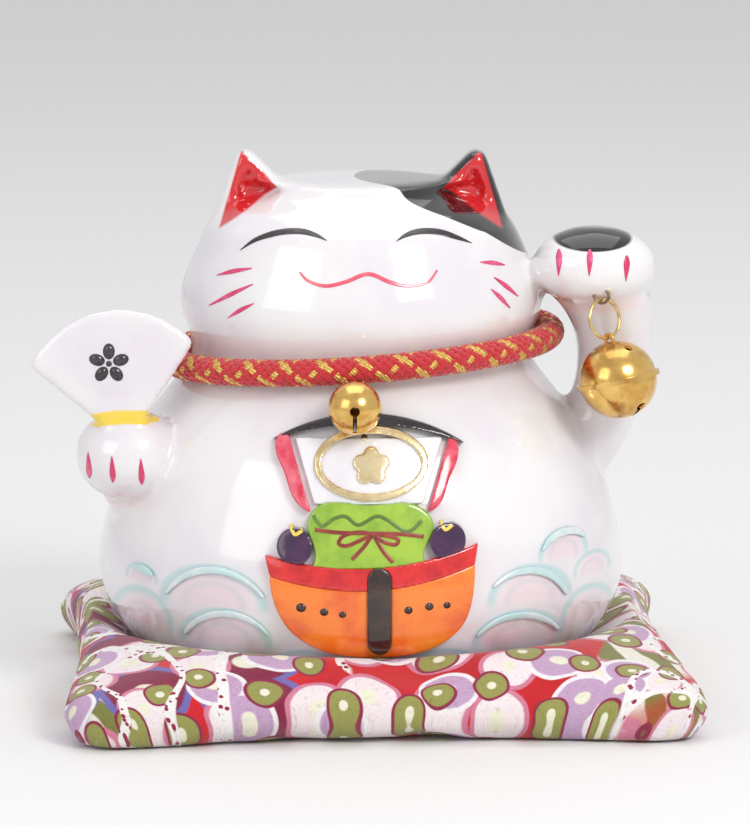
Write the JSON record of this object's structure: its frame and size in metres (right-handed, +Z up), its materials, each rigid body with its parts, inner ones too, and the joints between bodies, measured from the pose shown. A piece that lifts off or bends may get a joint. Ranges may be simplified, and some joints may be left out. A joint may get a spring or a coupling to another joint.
{
  "type": "lucky cat figurine",
  "caption": "Seated glazed cat money bank with a fan, a raised paw with a jingle bell, a braided cord collar with a bell, ship relief and a printed cushion.",
  "frame": {"origin": "on the cushion's underside, under the middle of the cat", "axes": "+Z up, the cat faces -Y, the raised paw is on the +X side"},
  "size_m": [0.178, 0.177, 0.1465],
  "materials": {
    "white_glaze": "gloss",
    "black_glaze": "gloss",
    "orange_glaze": "gloss",
    "red_glaze": "gloss",
    "crimson_glaze": "gloss",
    "lime_glaze": "gloss",
    "aubergine_glaze": "gloss",
    "sea_glaze": "gloss",
    "pale_gold_lustre": "metallic lustre",
    "gilt_brass": "polished",
    "eye_wire": "dull",
    "pellet_steel": "plain",
    "red_braid": "braided with metallic gold",
    "stopper_rubber": "matt",
    "print_cotton": "printed crepe",
    "fill_fibre": "loose fibre"
  },
  "bodies": {
    "cushion": {"cushion_cover": "print_cotton", "cushion_filling": "fill_fibre"},
    "paw_ring": {"paw_ring": "gilt_brass"},
    "paw_bell": {"paw_bell_upper": "gilt_brass", "paw_bell_lower": "gilt_brass", "paw_bell_lug": "gilt_brass"},
    "paw_pellet": {"paw_bell_pellet": "pellet_steel"},
    "collar_bell": {"collar_bell_upper": "gilt_brass", "collar_bell_lower": "gilt_brass", "collar_bell_lug": "gilt_brass"},
    "collar_pellet": {"collar_bell_pellet": "pellet_steel"},
    "cat": {"cat_body": "white_glaze", "base_stopper": "stopper_rubber", "ear_left": "white_glaze", "ear_right": "black_glaze", "raised_arm": "white_glaze", "fan_arm": "white_glaze", "fan": "white_glaze", "tail": "white_glaze", "ship_hull": "orange_glaze", "ship_rail": "red_glaze", "ship_plank": "black_glaze", "treasure_sack": "lime_glaze", "eggplant_left": "aubergine_glaze", "eggplant_right": "aubergine_glaze", "sail": "white_glaze", "sail_yard": "black_glaze", "sail_ribbon_left": "crimson_glaze", "sail_ribbon_right": "crimson_glaze", "sail_ring": "pale_gold_lustre", "sail_emblem": "pale_gold_lustre", "wave_relief": "sea_glaze", "collar_cord": "red_braid", "collar_ferrule": "gilt_brass", "collar_ring": "gilt_brass", "paw_eye": "eye_wire"}
  },
  "joints": [
    {"name": "cat_lift", "type": "slide", "parent": "cushion", "child": "cat", "axis": [0, 0, 1], "range_m": [0, 0.08]},
    {"name": "paw_ring_swing", "type": "hinge", "parent": "cat", "child": "paw_ring", "pos_m": [0.0638, -0.0226, 0.1079], "axis": [-0.9659, 0.2588, 0], "range_deg": [0, 50]},
    {"name": "paw_bell_swing", "type": "hinge", "parent": "paw_ring", "child": "paw_bell", "pos_m": [0.06584, -0.0234, 0.09871], "axis": [-0.7468, -0.6562, -0.1081], "range_deg": [0, 30]},
    {"name": "paw_pellet_roll", "type": "hinge", "parent": "paw_bell", "child": "paw_pellet", "pos_m": [0.06828, -0.02437, 0.08772], "axis": [0, 1, 0], "range_deg": [-60, 60]},
    {"name": "collar_bell_swing", "type": "hinge", "parent": "cat", "child": "collar_bell", "pos_m": [-0.0014, -0.04987, 0.09004], "axis": [-1, 0, 0], "range_deg": [0, 60]},
    {"name": "collar_pellet_roll", "type": "hinge", "parent": "collar_bell", "child": "collar_pellet", "pos_m": [-0.0014, -0.05586, 0.0852], "axis": [0, 1, 0], "range_deg": [-60, 60]}
  ]
}
